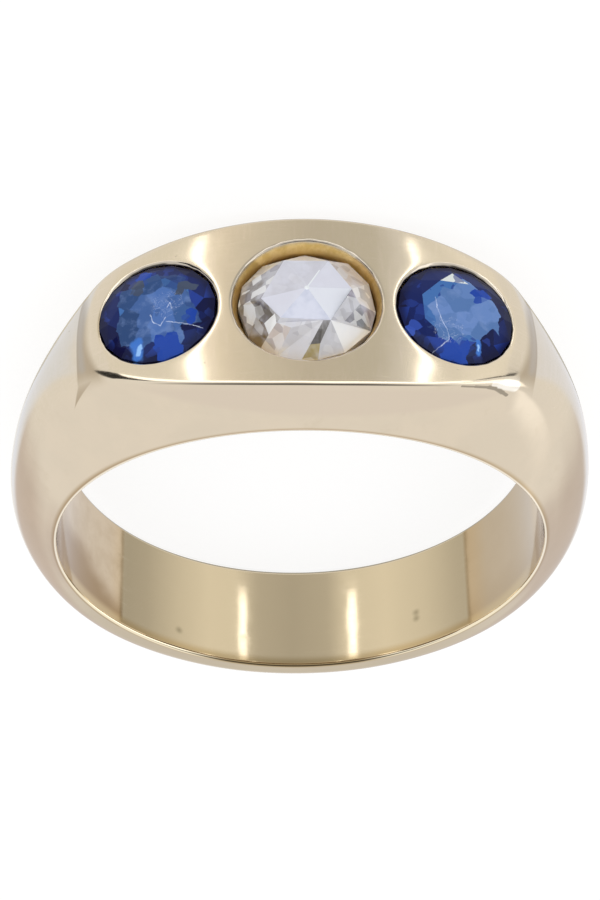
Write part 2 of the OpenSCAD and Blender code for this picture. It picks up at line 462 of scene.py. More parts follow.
def window_border(begin, end, cols):
    """The grid's points round a window between two rows, in order, and their rows and columns."""
    rows, across = np.arange(begin, end), np.arange(WINDOW_AT, WINDOW_TO)
    row = np.concatenate([rows, 0 * across + end, rows[::-1] + 1, 0 * across + begin])
    col = np.concatenate([0 * rows + WINDOW_AT, across, 0 * rows + WINDOW_TO, across[::-1] + 1])
    return row * cols + col, row, col


def band_mesh():
    """The whole band: a grid of sections, with a patch of rings round each seat in place of three windows.

    Each point comes with its shares of the finishes.
    """
    turns, stops = ring_turns()
    half = band_sections(turns)
    z = np.concatenate([-half[..., 1], half[:, -2:0:-1, 1]], axis=1)
    rows, cols = z.shape
    t = np.broadcast_to(turns[:, None], z.shape)
    on_grid = grid_shares(turns)
    radius = both_sides(half[..., 0]) - SKIN * crown_share() - relief(t, z) * on_grid["satin"]
    verts = [in_space(t, radius, z).reshape(-1, 3)]
    shares = {name: [values.ravel()] for name, values in on_grid.items()}

    i, j = np.meshgrid(np.arange(rows), np.arange(cols), indexing="ij")
    a, b = i * cols + j, i * cols + (j + 1) % cols
    c, d = (i + 1) % rows * cols + (j + 1) % cols, (i + 1) % rows * cols + j
    cut = (i < stops[-1]) & (j >= WINDOW_AT) & (j < WINDOW_TO)
    faces = [np.stack([a, d, c, b], axis=-1)[~cut]]
    count = rows * cols

    for k in range(len(SEATS)):
        border, row, col = window_border(stops[k], stops[k + 1], cols)
        rings, middle = seat_rings(k, turns[row], z[row, col])
        n = len(border)
        for name, (values, last) in ring_shares(len(rings)).items():
            shares[name] += [np.repeat(values, n), [last]]
        ids = np.concatenate([border[None], count + np.arange(len(rings) * n).reshape(-1, n)])
        after = np.roll(ids, -1, axis=1)
        faces.append(np.stack([ids[:-1], after[:-1], after[1:], ids[1:]], axis=-1).reshape(-1, 4))
        count += len(rings) * n
        verts += rings + [middle]
        faces.append(np.stack([ids[-1], after[-1], np.full(n, count)], axis=-1))
        count += 1
    verts = np.concatenate(verts)
    used = np.unique(np.concatenate([f.ravel() for f in faces]))
    new = np.full(len(verts), -1)
    new[used] = np.arange(len(used))
    shares = {name: np.concatenate(parts)[used] for name, parts in shares.items()}
    return verts[used], [new[f] for f in faces], shares


def corner_ring(r, z, n, first):
    """n points of a circle of radius r at the height z, from the angle first in degrees."""
    a = np.radians(first) + np.arange(n) * 2 * math.pi / n
    return np.stack([r * np.cos(a), r * np.sin(a), np.full(n, z)], axis=-1)


# The rose cut is old and was cut by eye: corners as (turn in degrees, reach) on the
# stone seen from above, the star's six first, then the girdle's, then the small ones
# between that the facets behind them show through
STAR_POINT = (0.04, 0.10)
STAR = ((12, 1.68), (51, 1.55), (121, 1.52), (184, 1.56), (241, 1.55), (301, 1.60))
GIRDLE_TURNS = (0, 32, 47, 63, 84, 98, 122, 156, 176, 205, 232, 271, 310, 340)
BETWEEN = (
    (9, 1.90), (24, 1.99), (37, 1.92), (42, 1.57), (50, 1.72), (48, 2.06), (69, 1.68),
    (110, 1.50), (92, 2.00), (102, 2.00), (137, 1.75), (170, 1.87), (173, 1.71), (164, 1.43),
)
STAR_H = 0.43
STAR_R = 1.60
# The girdle's wave: its height, how often it goes round and where it begins
GIRDLE_WAVE = (0.10, 3, 2.4)

# Facets by the corners' numbers: 0 is the point, 1-6 the star, 7-20 the girdle, 21-34
# those between, each with a tone that paints the light and shade it shows. A tone's last number says how much
# it is broken up into painted light and dark shards.
ROSE_FACETS = (
    ((0, 1, 2), "pale"), ((0, 2, 3), "lilac"), ((0, 3, 4), "bright"),
    ((0, 4, 5), "pale"), ((0, 5, 6), "mauve"), ((0, 6, 1), "mauve"),
    ((1, 21, 22, 23, 24), "umber"), ((1, 24, 2), "umber"), ((24, 23, 26, 25), "white"),
    ((24, 25, 2), "umber"), ((22, 8, 9, 26, 23), "olive"), ((21, 7, 8, 22), "taupe"),
    ((2, 25, 27, 28, 3), "pearl"), ((25, 26, 10, 27), "blush"), ((26, 9, 10), "sand"),
    ((27, 10, 11, 29, 28), "pearl"), ((28, 29, 30, 3), "dark"), ((29, 11, 12, 30), "ochre"),
    ((3, 30, 12, 13), "ash"), ((3, 13, 14), "white"), ((3, 14, 31), "bright"), ((31, 14, 32), "steel"),
    ((3, 31, 32, 33, 34), "silver"), ((34, 33, 4), "dusk"), ((4, 33, 32, 15, 16), "cream"),
    ((32, 14, 15), "dusk"), ((4, 16, 17, 5), "blush"), ((5, 17, 18), "white"), ((5, 18, 6), "white"),
    ((6, 18, 19), "white"), ((6, 19, 20), "oat"), ((6, 20, 1), "taupe"), ((1, 20, 7, 21), "taupe"),
)
TONES = {
    "bright": (0.88, 0.91, 1.00, 0.0), "pale": (0.78, 0.79, 0.90, 0.0), "lilac": (0.53, 0.57, 0.73, 0.0),
    "mauve": (0.65, 0.65, 0.73, 0.1), "white": (1.00, 1.00, 1.00, 0.0), "pearl": (0.74, 0.73, 0.77, 0.3),
    "silver": (0.57, 0.57, 0.60, 0.5), "cream": (0.80, 0.73, 0.66, 0.8), "blush": (0.64, 0.54, 0.48, 0.6),
    "taupe": (0.19, 0.16, 0.14, 1.0), "steel": (0.18, 0.19, 0.21, 0.8), "dusk": (0.22, 0.19, 0.25, 0.5),
    "umber": (0.14, 0.115, 0.09, 0.4), "dark": (0.14, 0.13, 0.12, 0.2), "olive": (0.17, 0.10, 0.01, 0.5),
    "ochre": (0.43, 0.34, 0.13, 0.5), "ash": (0.63, 0.63, 0.67, 0.3), "oat": (0.65, 0.62, 0.56, 0.5),
    "sand": (0.70, 0.62, 0.52, 0.8),
}


def polar(corners):
    """Corners given as (turn in degrees, reach) as plane points."""
    turn, reach = np.radians([c[0] for c in corners]), np.array([c[1] for c in corners])
    return np.stack([reach * np.cos(turn), reach * np.sin(turn)], axis=-1)


def rose_cut():
    """The diamond: a low six-sided star over a steep band of small facets, a wavy girdle and a flat back."""
    r = DIAMOND_FOOT_R - STONE_GAP
    girdle = polar([(t, r) for t in GIRDLE_TURNS])
    flat = np.concatenate([[STAR_POINT], polar(STAR), girdle, polar(BETWEEN)])
    n, rim = len(GIRDLE_TURNS), 1 + len(STAR)
    reach = np.linalg.norm(flat, axis=1)
    height = STAR_H - (STAR_H + DIAMOND_GIRDLE) * (reach - STAR_R) / (r - STAR_R)
    height[0] = DIAMOND_APEX
    height[1:rim] = STAR_H
    high, often, begin = GIRDLE_WAVE
    height[rim:rim + n] = high * (1 + np.sin(np.radians(GIRDLE_TURNS) * often + begin)) - DIAMOND_GIRDLE
    points = np.concatenate([
        np.column_stack([flat, height]),
        np.column_stack([girdle, height[rim:rim + n] - GIRDLE_H]),
        np.column_stack([girdle, np.full(n, STONE_GAP - DIAMOND_FLOOR)]),
    ])
    k, first = np.arange(n), len(flat)
    k2 = (k + 1) % n
    faces = [np.array([f]) for f, _ in ROSE_FACETS]
    faces.append(np.stack([rim + k, first + k, first + k2, rim + k2], 1))
    faces.append(np.stack([first + k, first + n + k, first + n + k2, first + k2], 1))
    faces.append(first + n + k[::-1][None])
    tones = [TONES[t] for _, t in ROSE_FACETS] + [TONES["pearl"]] * (2 * n + 1)
    return points, faces, tones


# Each facet's blue paints the light and shade it shows, and a glint facet a highlight. A blue's last number
# says how far the light of the stone's heart shows through it
BLUES = {
    "table": (0.06, 0.17, 0.45, 1.0), "blue": (0.02, 0.05, 0.30, 1.0), "navy": (0.010, 0.018, 0.11, 1.0),
    "night": (0.007, 0.008, 0.055, 1.0), "glint": (0.75, 0.80, 0.78, 0.0),
}
BACK_BLUES = ["table", "blue", "navy", "blue", "table", "night", "blue", "navy"]
# Shares of the crown's height and of the pavilion's radius and depth at their middle
# steps, and the stone's lowest point, a little off the middle
STAR_DROP = 0.40
PAVILION_STEP = (0.5, 0.62)
CULET = (0.1, 0.05)


def mixed_cut(turn, crown):
    """A sapphire: an eight-sided table, eight stars, eight kites, sixteen girdle facets and a faceted back.

    The crown's tones run round from the turn: the stars', the kites', then those of the
    girdle facets just after and just before each star. The corners' numbers begin at 0
    for the table, 8 for the crown's middle, 16 for the girdle, 32 for its foot and 48
    for the back's middle, and 56 is the lowest point.
    """
    r = SAPPHIRE_SEAT_R - STONE_GAP
    mid_r = (TABLE_R + r) / 2
    mid_h = TABLE_H - STAR_DROP * (TABLE_H + SAPPHIRE_CROWN)
    low = SAPPHIRE_GIRDLE + GIRDLE_H
    wide, down = PAVILION_STEP
    points = np.concatenate([
        corner_ring(TABLE_R, TABLE_H, 8, turn + 22.5),
        corner_ring(mid_r, mid_h, 8, turn),
        corner_ring(r, -SAPPHIRE_CROWN, 16, turn),
        corner_ring(r, -low, 16, turn),
        corner_ring(wide * r, -low - down * PAVILION, 8, turn + 22.5),
        [[*CULET, -low - PAVILION]],
    ])
    i = np.arange(8)
    i2, before = (i + 1) % 8, (i + 7) % 8
    tab, mid, g, b, p = i, 8 + i, 16 + 2 * i, 32 + 2 * i, 48
    k = np.arange(16)
    k2 = (k + 1) % 16
    faces = [
        i[None],
        np.stack([before, mid, tab], 1),
        np.stack([tab, mid, g + 1, 8 + i2], 1),
        np.stack([mid, g, g + 1], 1),
        np.stack([mid, 16 + (2 * i + 15) % 16, g], 1),
        np.stack([16 + k, 32 + k, 32 + k2, 16 + k2], 1),
        np.stack([b + 1, b, p + i], 1),
        np.stack([b, 32 + (2 * i + 15) % 16, p + before], 1),
        np.stack([b, p + before, p + i], 1),
        np.stack([p + i2, p + i, np.full(8, 56)], 1),
    ]
    return points, faces, [BLUES[c] for c in ["table"] + crown.split() + ["night"] * 16 + BACK_BLUES * 4]


# Materials

# A spot has faded out at this many times its size
SPOT_FADE = 1.2


class Graph:
    """Adds nodes to a material; each input is a number, a colour's three numbers or another node's output."""

    def __init__(self, name):
        self.material = bpy.data.materials.new(name)
        self.material.use_nodes = True
        self.tree = self.material.node_tree
        self.surface = self.tree.nodes["Principled BSDF"]

    def put(self, kind, inputs, out=0, **settings):
        """A node with its inputs set or joined; gives the output asked for."""
        node = self.tree.nodes.new(kind)
        for key, value in settings.items():
            setattr(node, key, value)
        self.join(node, inputs)
        return node.outputs[out]

    def join(self, node, inputs):
        """Joins a node's inputs to other nodes' outputs, or sets them to plain values."""
        for key, value in inputs.items():
            if isinstance(value, bpy.types.NodeSocket):
                self.tree.links.new(value, node.inputs[key])
            else:
                node.inputs[key].default_value = value

    def maths(self, operation, a, b=0.0, c=0.0):
        return self.put("ShaderNodeMath", {0: a, 1: b, 2: c}, operation=operation)

    def plus(self, a, b):
        return self.maths("ADD", a, b)

    def minus(self, a, b):
        return self.maths("SUBTRACT", a, b)

    def times(self, a, b):
        return self.maths("MULTIPLY", a, b)

    def noise(self, where, scale, detail=2.0, rough=0.5, out=0):
        """Soft cloudy noise, mostly between 0.3 and 0.7."""
        return self.put("ShaderNodeTexNoise", {
            "Vector": where, "Scale": scale, "Detail": detail, "Roughness": rough,
        }, out=out)

    def step(self, value, low, high, to_low=0.0, to_high=1.0):
        """The value's place between low and high, smoothly from to_low to to_high."""
        return self.put("ShaderNodeMapRange", {
            "Value": value, "From Min": low, "From Max": high, "To Min": to_low, "To Max": to_high,
        }, interpolation_type="SMOOTHSTEP")

    def mix(self, share, a, b):
        """Colour a, turning into b by the share."""
        a, b = ((*c, 1) if isinstance(c, tuple) else c for c in (a, b))
        node = self.tree.nodes.new("ShaderNodeMix")
        node.data_type = "RGBA"
        self.join(node, {0: share, 6: a, 7: b})
        return node.outputs[2]

    def over(self, colour, tone, share, strength):
        """The colour with a tone over it, as strong as the share times the strength."""
        return self.mix(self.times(share, strength), colour, tone)

    def vector(self, operation, a, b, out=0):
        return self.put("ShaderNodeVectorMath", {0: a, 1: b}, out=out, operation=operation)

    def length(self, vector):
        return self.put("ShaderNodeVectorMath", {0: vector}, out="Value", operation="LENGTH")

    def shards(self, where, scale, blur=0.0):
        """Crystal-edged cells: the distance to a cell's middle, its chance colour and its middle."""
        kind = "SMOOTH_F1" if blur else "F1"
        node = self.put("ShaderNodeTexVoronoi", {"Vector": where, "Scale": scale}, feature=kind).node
        if blur:
            node.inputs["Smoothness"].default_value = blur
        return node.outputs

    def chance(self, colour, part):
        """A cell's chance number from 0 to 1: one part of its chance colour."""
        return self.put("ShaderNodeSeparateColor", {0: colour}, out=part)

    def way_from(self, place, where):
        """The way to each point from a place on the stone's own plane, laid flat on it."""
        return self.vector("MULTIPLY", self.vector("SUBTRACT", where, (*place, 0)), (1, 1, 0))

    def spot(self, where, place, size):
        """1 within the size of a place on the stone's own plane, fading to 0 just outside it."""
        return self.step(self.length(self.way_from(place, where)), size * SPOT_FADE, size)

    def stroke(self, where, begin, end, width):
        """1 along the straight line between two places on the stone's own plane.

        The distance is taken to the nearest point of the line, at the share
        t = (p - a).(b - a) / |b - a|^2 of it, held between 0 and 1.
        """
        line = (end[0] - begin[0], end[1] - begin[1], 0)
        size = line[0] ** 2 + line[1] ** 2
        away = self.way_from(begin, where)
        dot = self.vector("DOT_PRODUCT", away, tuple(v / size for v in line), out="Value")
        t = self.put("ShaderNodeClamp", {0: dot})
        near = self.put("ShaderNodeVectorMath", {0: line, "Scale": t}, operation="SCALE")
        return self.step(self.length(self.vector("SUBTRACT", away, near)), width, width / 2)

    def strokes(self, where, lines, width):
        """The strongest of the strokes along several broken lines."""
        parts = [self.stroke(where, a, b, width) for line in lines for a, b in zip(line, line[1:])]
        strongest = parts[0]
        for part in parts[1:]:
            strongest = self.maths("MAXIMUM", strongest, part)
        return strongest

    def jittered(self, where, scale, detail, reach):
        """The points moved about on the stone's own plane by a noise, by half the reach at most."""
        torn = self.vector("MULTIPLY", self.noise(where, scale, detail, out="Color"), (reach, reach, 0))
        return self.vector("SUBTRACT", self.vector("ADD", torn, where), (reach / 2, reach / 2, 0))

    def bump(self, height, depth, **under):
        """Bumps of the height times the depth in metres, on the Normal of another bump if one is given."""
        return self.put("ShaderNodeBump", {"Strength": 1.0, "Distance": depth, "Height": height, **under})

    def share(self, name, out="Fac"):
        """What the piece keeps for each point or facet under the name."""
        return self.put("ShaderNodeAttribute", {}, out=out, attribute_name=name)

    def ring_place(self):
        """Millimetres in the ring's own frame, from the object's coordinates."""
        here = self.put("ShaderNodeTexCoord", {}, out="Object")
        return self.put("ShaderNodeMapping", {
            "Vector": here, "Location": tuple(HOLE_MIDDLE), "Rotation": (-LEAN, 0, 0), "Scale": (MM, MM, MM),
        }, vector_type="TEXTURE")

    def finish(self, inputs):
        """Joins the surface's own inputs and gives the material."""
        self.join(self.surface, inputs)
        return self.material


# The gold's tones, by where they lie; those of the hole, the edges, rims and corner, the upper wall, the
# crease and the seats' walls are painted light and shade
GOLD = {
    "light": (0.745, 0.640, 0.500), "deep": (0.720, 0.622, 0.488), "smudge": (0.60, 0.50, 0.36),
    "grain": (0.69, 0.60, 0.445), "pinhole": (0.30, 0.24, 0.16), "wall": (0.70, 0.595, 0.475),
    "hole": (0.73, 0.62, 0.45), "brown": (0.63, 0.485, 0.31), "umber": (0.57, 0.43, 0.265),
    "near_rim_shade": (0.36, 0.235, 0.115), "right_side_shade": (0.51, 0.375, 0.215),
    "foot": (0.44, 0.335, 0.185), "side_foot": (0.60, 0.44, 0.23), "stain": (0.30, 0.26, 0.17),
    "near_edge_highlight": (0.84, 0.75, 0.60), "far_edge_shade": (0.50, 0.46, 0.40), "crease_shade": (0.38, 0.295, 0.19),
    "line": (0.36, 0.31, 0.24), "corner_highlight": (1.0, 0.95, 0.86),
    "rim_head": (0.97, 0.88, 0.74), "rim_back": (0.34, 0.245, 0.125), "rim_side_highlight": (0.97, 0.86, 0.64),
    "rim_far_shade": (0.30, 0.26, 0.18),
    "seat": (0.98, 0.74, 0.34), "seat_shade": (0.84, 0.60, 0.22), "seat_foot_shade": (0.66, 0.44, 0.17),
}

# How the brush strokes squeeze the surface (round the ring, along Z, outwards)
ALONG, ACROSS = (0.5, 9.0, 9.0), (9.0, 0.6, 1.0)

# Dark stains inside the finger hole: place in the ring and size
STAINS = (((-4.97, 7.80, 0.90), 0.24), ((-4.97, 7.80, 0.62), 0.24), ((4.65, 8.00, 1.38), 0.24))

# Along the near edge in the picture's right corner: a line of painted shade below the rounding and
# a painted highlight on it, each as rows of begin and end (x, y in the ring) and width
CORNER_SHADE_LINE = (
    ((-5.30, -10.80), (-5.80, -10.60), 0.05), ((-5.80, -10.60), (-6.30, -10.36), 0.07),
    ((-6.30, -10.36), (-6.60, -10.15), 0.10), ((-6.60, -10.15), (-6.82, -9.86), 0.11),
    ((-6.82, -9.86), (-7.00, -9.62), 0.08),
)
CORNER_HIGHLIGHT = (
    ((-6.46, -10.40), (-6.74, -10.24), 0.08), ((-6.72, -10.24), (-7.04, -10.02), 0.15),
    ((-6.96, -10.08), (-7.34, -9.78), 0.20), ((-6.90, -10.22), (-7.36, -9.98), 0.15),
)

# The strip of painted shade along the crease at the pad's round end: where its inner and outer
# bounds begin and end on the ring's X, and how fast they fall with the square of z
STRIP_INNER, STRIP_OUTER = (7.78, 8.08), (8.29, 8.24)
STRIP_SHADE, STRIP_ROUND, STRIP_ROUND_NEAR = 0.125, 0.058, 0.023
# The notch of painted shade below it: the radius of its upper end, then where it begins and how it leans
# for its outer and inner bounds, in degrees and degrees for a millimetre
NOTCH_TOP, NOTCH_BEND = 12.4, 0.25
NOTCH_OUTER, NOTCH_INNER = (42.1, 6.3), (37.8, 9.6)


class GoldGraph(Graph):
    """The band's nodes, with the measures of the ring that its finish follows."""

    def __init__(self, name):
        super().__init__(name)
        self.place = self.ring_place()
        self.x, self.y, self.z = self.put("ShaderNodeSeparateXYZ", {0: self.place}).node.outputs
        self.radius = self.maths("SQRT", self.plus(self.times(self.x, self.x), self.times(self.y, self.y)))
        self.turn = self.maths("ARCTAN2", self.x, self.times(self.y, -1))
        self.inside = self.step(self.radius, BORE_R + 0.25, BORE_R + 0.05)
        self.beside = self.step(self.maths("ABSOLUTE", self.x), 2.5, 4.5)
        self.back = self.step(self.y, 1.0, 3.5)
        self.near = self.step(self.z, -0.5, 0.5)
        self.satin = self.share("satin")
        self.off_face = self.minus(1.0, self.satin)


def painted_crease_shade(g):
    """1 where shade is painted along the crease at the pad's round end, and in the notch that runs from its
    corner down the wall.

    The strip of painted shade lies along the crease: both its bounds fall as the square of z. The
    notch is on one side only; its bounds lean outwards and meet at its tip.
    """
    across = g.maths("ABSOLUTE", g.x)
    square = g.times(g.z, g.z)
    less_round = g.times(g.step(g.z, -0.1, 0.1), g.step(g.x, -0.1, 0.1))
    rounded = g.times(square, g.step(less_round, 0.0, 1.0, STRIP_ROUND, STRIP_ROUND_NEAR))
    shaded = g.times(square, g.step(g.z, -0.3, 0.3, 0.0, STRIP_SHADE))
    inner = g.step(g.plus(across, shaded), *STRIP_INNER)
    outer = g.step(g.plus(across, rounded), *STRIP_OUTER)
    strip = g.times(g.times(inner, outer), g.satin)
    deep = g.minus(NOTCH_TOP, g.radius)
    bend_out = g.maths("MAXIMUM", g.minus(deep, NOTCH_BEND), 0.0)
    begin, lean = np.radians(NOTCH_OUTER).tolist()
    past = g.minus(g.turn, g.maths("MULTIPLY_ADD", bend_out, lean, begin))
    begin, lean = np.radians(NOTCH_INNER).tolist()
    short = g.minus(g.maths("MULTIPLY_ADD", deep, lean, begin), g.turn)
    notch = g.step(g.maths("MAXIMUM", past, short), math.radians(0.3), math.radians(-0.1))
    return g.maths("MAXIMUM", strip, g.times(notch, g.off_face))


def hole_tones(g, colour):
    """The finger hole: an olive tint painted at the back for light bounced between the gold walls, painted
    brown shade at its sides, darkest towards the near rim.

    The darkest part is wider on the picture's left, and on its right the painted shade is more
    even. Near the rim at the back lies a band of painted dark shade, and three stains lie on the olive.
    """
    # An olive tint painted inside the hole for light bounced between its gold walls.
    colour = g.over(colour, GOLD["hole"], g.inside, 0.8)
    # Past the back's middle: painted brown shade, darkest towards the near rim.
    aside = g.step(g.maths("ABSOLUTE", g.turn), math.radians(132.4), math.radians(131.0))
    brown = g.mix(g.step(g.noise(g.place, 0.9, 4.0, 0.6), 0.35, 0.65), GOLD["brown"], GOLD["umber"])
    low = g.plus(g.z, g.times(g.noise(g.place, 0.7, 2.0), 1.2))
    low = g.plus(low, g.step(g.x, 7.2, 8.6, 0.0, 1.3))
    brown = g.mix(g.step(low, 1.0, 2.8), brown, GOLD["near_rim_shade"])
    brown = g.mix(g.step(g.x, -5.5, -7.5, 0.0, 0.85), brown, GOLD["right_side_shade"])
    colour = g.over(colour, brown, g.inside, aside)
    # A band of painted dark shade inside, near the rim at the back.
    foot = g.times(g.times(g.inside, g.back), g.step(g.z, 1.75, 2.15))
    colour = g.over(colour, g.mix(g.beside, GOLD["foot"], GOLD["side_foot"]), foot, 0.8)
    for middle, size in STAINS:
        mark = g.step(g.vector("DISTANCE", g.place, middle, out="Value"), size, 0.0)
        colour = g.over(colour, GOLD["stain"], mark, 0.6)
    return colour


def edge_tones(g, colour):
    """Painted highlight and shade on the edges and lips, painted shade on the upper wall and along the crease
    ends, a painted shade line and a painted highlight at the corner, and painted highlight and shade on the
    rims of the finger hole.
    """
    # Rounded edges and lips: a painted highlight towards the near side, a painted shade towards the far side.
    worn = g.mix(g.near, GOLD["far_edge_shade"], GOLD["near_edge_highlight"])
    colour = g.over(colour, worn, g.share("edge_highlight_and_shade"), g.step(g.near, 0.0, 1.0, 0.8, 0.3))
    # Painted shade on the upper part of the front wall, standing in for a darker band it mirrors.
    upper = g.step(g.plus(g.y, g.times(g.x, 0.04)), -9.9, -10.3)
    colour = g.over(colour, GOLD["wall"], g.times(upper, g.share("wall")), 0.9)
    # Painted shade along the crease at the pad's round ends and in the notch below one of them.
    colour = g.over(colour, GOLD["crease_shade"], painted_crease_shade(g), 0.75)
    below = g.times(g.step(g.z, 1.5, 2.0), g.off_face)
    # The corner's painted shade line and painted highlight, below the head's face.
    for rows, tone in ((CORNER_SHADE_LINE, "line"), (CORNER_HIGHLIGHT, "corner_highlight")):
        for begin, end, width in rows:
            colour = g.over(colour, GOLD[tone], g.stroke(g.place, begin, end, width), below)
    # The finger hole's rims: a painted highlight towards the head and at the sides, a painted shade at the
    # back's middle and on the far rim.
    rim = g.mix(g.beside, GOLD["rim_back"], GOLD["rim_side_highlight"])
    rim = g.mix(g.back, GOLD["rim_head"], rim)
    rim = g.mix(g.near, GOLD["rim_far_shade"], rim)
    return g.over(colour, rim, g.share("rim"), 0.95)


def gold():
    """Pale yellow gold, polished by hand, satin on the head: hairlines, smudges and pinholes, with highlight
    and shade painted on its edges, rims, walls and in the finger hole, and its seats' walls painted a deeper
    yellow for bounced light.
    """
    g = GoldGraph("polished_gold")
    rolled = g.put("ShaderNodeCombineXYZ", {0: g.times(g.turn, BORE_R), 1: g.z, 2: g.radius})
    along = g.vector("MULTIPLY", rolled, ALONG)
    across = g.vector("MULTIPLY", rolled, ACROSS)
    brushed = g.noise(along, 1.6, 4.0, 0.6)
    crossed = g.noise(across, 1.4, 4.0, 0.6)
    hairlines = g.step(g.noise(along, 0.9, 1.0), 0.66, 0.72)
    clouds = g.step(g.noise(g.place, 0.45, 3.0, 0.6), 0.35, 0.65)
    smudge = g.step(g.noise(g.place, 0.8, 4.0, 0.65), 0.56, 0.72)
    grain = g.times(g.step(g.maths("MINIMUM", brushed, crossed), 0.3, 0.55), g.satin)
    pinholes = g.times(g.step(g.shards(g.place, 1.3)["Distance"], 0.045, 0.025), g.satin)
    seat = g.share("seat")

    colour = g.mix(clouds, GOLD["light"], GOLD["deep"])
    colour = g.over(colour, GOLD["smudge"], smudge, 0.14)
    colour = g.over(colour, GOLD["grain"], grain, 0.5)
    colour = edge_tones(g, hole_tones(g, colour))
    # The seats' walls: a deep yellow painted for light bounced between gold walls, with painted shade towards
    # their floors.
    wall = g.mix(g.step(g.noise(g.place, 2.2, 3.0, 0.6), 0.4, 0.62), GOLD["seat"], GOLD["seat_shade"])
    wall = g.mix(g.share("deep"), wall, GOLD["seat_foot_shade"])
    colour = g.mix(seat, colour, wall)
    colour = g.over(colour, GOLD["pinhole"], pinholes, 0.3)

    rough = g.step(brushed, 0.3, 0.7, 0.07, 0.10)
    for part, more in ((g.satin, 0.05), (seat, 0.34), (smudge, 0.04), (hairlines, 0.04)):
        rough = g.plus(rough, g.times(part, more))
    height = g.times(brushed, 0.12)
    for part, more in ((crossed, 0.15), (hairlines, -0.12), (pinholes, -5.0)):
        height = g.plus(height, g.times(part, more))
    normal = g.bump(g.noise(g.place, 0.9, 1.0), 4.0e-6, Normal=g.bump(height, 1.2e-6))
    return g.finish({"Base Color": colour, "Metallic": 1.0, "Roughness": rough, "Normal": normal})


# The worn line on the diamond. A place on a stone is (along the head, across it), in
# millimetres from the stone's middle
DIAMOND_STROKES = ((STAR_POINT, (-0.42, -0.83)),)


def rose_diamond():
    """The old diamond: clear, with each facet's light and shade painted as its tone, broken into painted
    light and dark shards near the rim, faint haze and rub, and a painted glint at its point.
    """
    g = Graph("old_diamond")
    here = g.share("cut_place", "Vector")
    tone, broken = g.share("tone", "Color"), g.share("tone", "Alpha")
    shard = g.shards(here, 2.4)["Color"]
    haze = g.step(g.noise(here, 1.1, 3.0, 0.6), 0.40, 0.66)
    rubbed = g.step(g.noise(here, 5.0, 5.0, 0.7), 0.35, 0.75, 0.0, 0.05)
    colour = g.over(tone, (0.84, 0.86, 0.98), haze, 0.45)
    # Painted light and dark shards on the facets whose tones are broken up.
    dark = g.times(g.step(g.chance(shard, "Red"), 0.66, 0.70), broken)
    light = g.times(g.step(g.chance(shard, "Green"), 0.72, 0.76), broken)
    colour = g.over(colour, (0.22, 0.20, 0.24), dark, 0.55)
    colour = g.over(colour, (1.0, 1.0, 1.0), light, 0.65)
    # The worn line along one ridge, and a painted glint at the star's point.
    worn = g.maths("MAXIMUM", g.strokes(here, DIAMOND_STROKES, 0.03), g.spot(here, STAR_POINT, 0.08))
    colour = g.over(colour, (0.92, 0.97, 1.0), worn, 0.9)
    return g.finish({
        "Base Color": colour, "Transmission Weight": 0.2, "IOR": 2.42, "Specular IOR Level": 0.2,
        "Roughness": rubbed, "Normal": g.bump(g.noise(here, 2.5, 3.0), 1.5e-6),
    })


def silver_foil():
    """The crumpled bright foil under the diamond."""
    g = Graph("silver_foil")
    place = g.ring_place()
    creases = g.shards(place, 1.6)["Distance"]
    colour = g.mix(g.step(g.noise(place, 2.0), 0.4, 0.6), (0.88, 0.89, 0.96), (0.80, 0.79, 0.80))
    rough = g.step(creases, 0.0, 1.0, 0.06, 0.2)
    return g.finish({
        "Base Color": colour, "Metallic": 1.0, "Roughness": rough, "Normal": g.bump(creases, 6.0e-5),
    })


# The sapphires' painted tones: a grey veil of painted reflection over the heart, scattered brighter cells of
# painted light, a painted shade at the rim and the scratches' own tone; then how wide a scratch is and how
# far the fine rubs reach round their place
REFLECTED_VEIL, SHARD = (0.22, 0.33, 0.62), (0.02, 0.045, 0.26)
RIM_SHADE, SCRATCH = (0.008, 0.007, 0.03), (0.66, 0.74, 0.95)
SCRATCH_WIDTH = 0.022
RUB_REACH = 0.55


